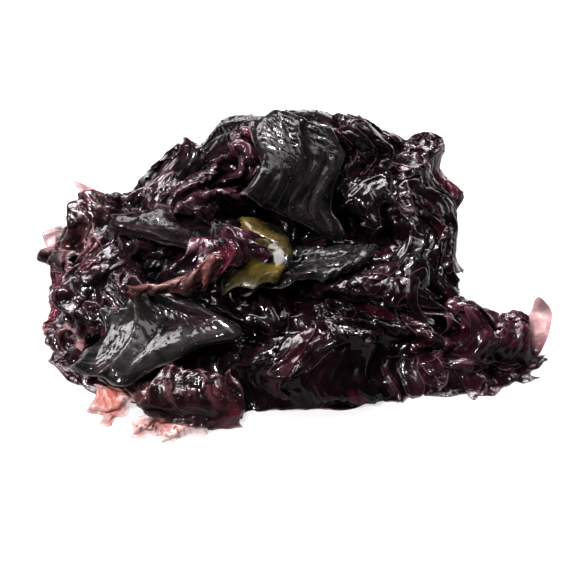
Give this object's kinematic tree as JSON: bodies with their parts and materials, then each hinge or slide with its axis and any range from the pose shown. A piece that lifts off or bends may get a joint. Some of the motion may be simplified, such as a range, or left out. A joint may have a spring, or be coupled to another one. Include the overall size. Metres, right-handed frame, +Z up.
{
  "type": "wet laver seaweed heap",
  "caption": "Heap of wet, crumpled purple laver fronds lying on a surface, with translucent torn margins and a low tail to one side.",
  "frame": {"origin": "on the surface that the heap lies on, under the middle of its outline", "axes": "+X along the heap's long side, towards its low tail; +Y to the back, where the summit is; +Z up"},
  "size_m": [0.146, 0.1222, 0.0507],
  "materials": {
    "purple_film": "wet, glossy, nearly black purple with magenta thin margins",
    "slate_film": "wet, glossy, smooth grey-green film",
    "amber_film": "wet, translucent yellow-green film",
    "rose_film": "wet, translucent bleached rose film"
  },
  "bodies": {
    "root": {"floor_frond": "purple_film", "tail_floor_frond": "purple_film", "rose_left_frond": "rose_film", "rose_front_frond": "rose_film", "left_floor_frond": "purple_film", "back_floor_frond": "purple_film", "second_frond": "purple_film", "third_frond": "purple_film", "rear_frond": "purple_film", "back_frond": "purple_film", "right_frond": "purple_film", "right_lobe_frond": "purple_film", "upper_left_frond": "purple_film", "left_edge_frond": "purple_film", "lower_middle_frond": "purple_film", "lower_front_frond": "purple_film", "lower_right_frond": "purple_film", "tail_frond": "purple_film", "front_frond": "purple_film", "left_frill_frond": "purple_film", "middle_left_frond": "purple_film", "olive_frond": "slate_film", "middle_right_frond": "slate_film", "amber_frond": "amber_film", "front_left_frond": "slate_film", "magenta_frond": "purple_film", "rust_frond": "rose_film", "crown_left_frond": "purple_film", "crown_right_frond": "purple_film", "crown_frond": "slate_film"}
  },
  "joints": []
}
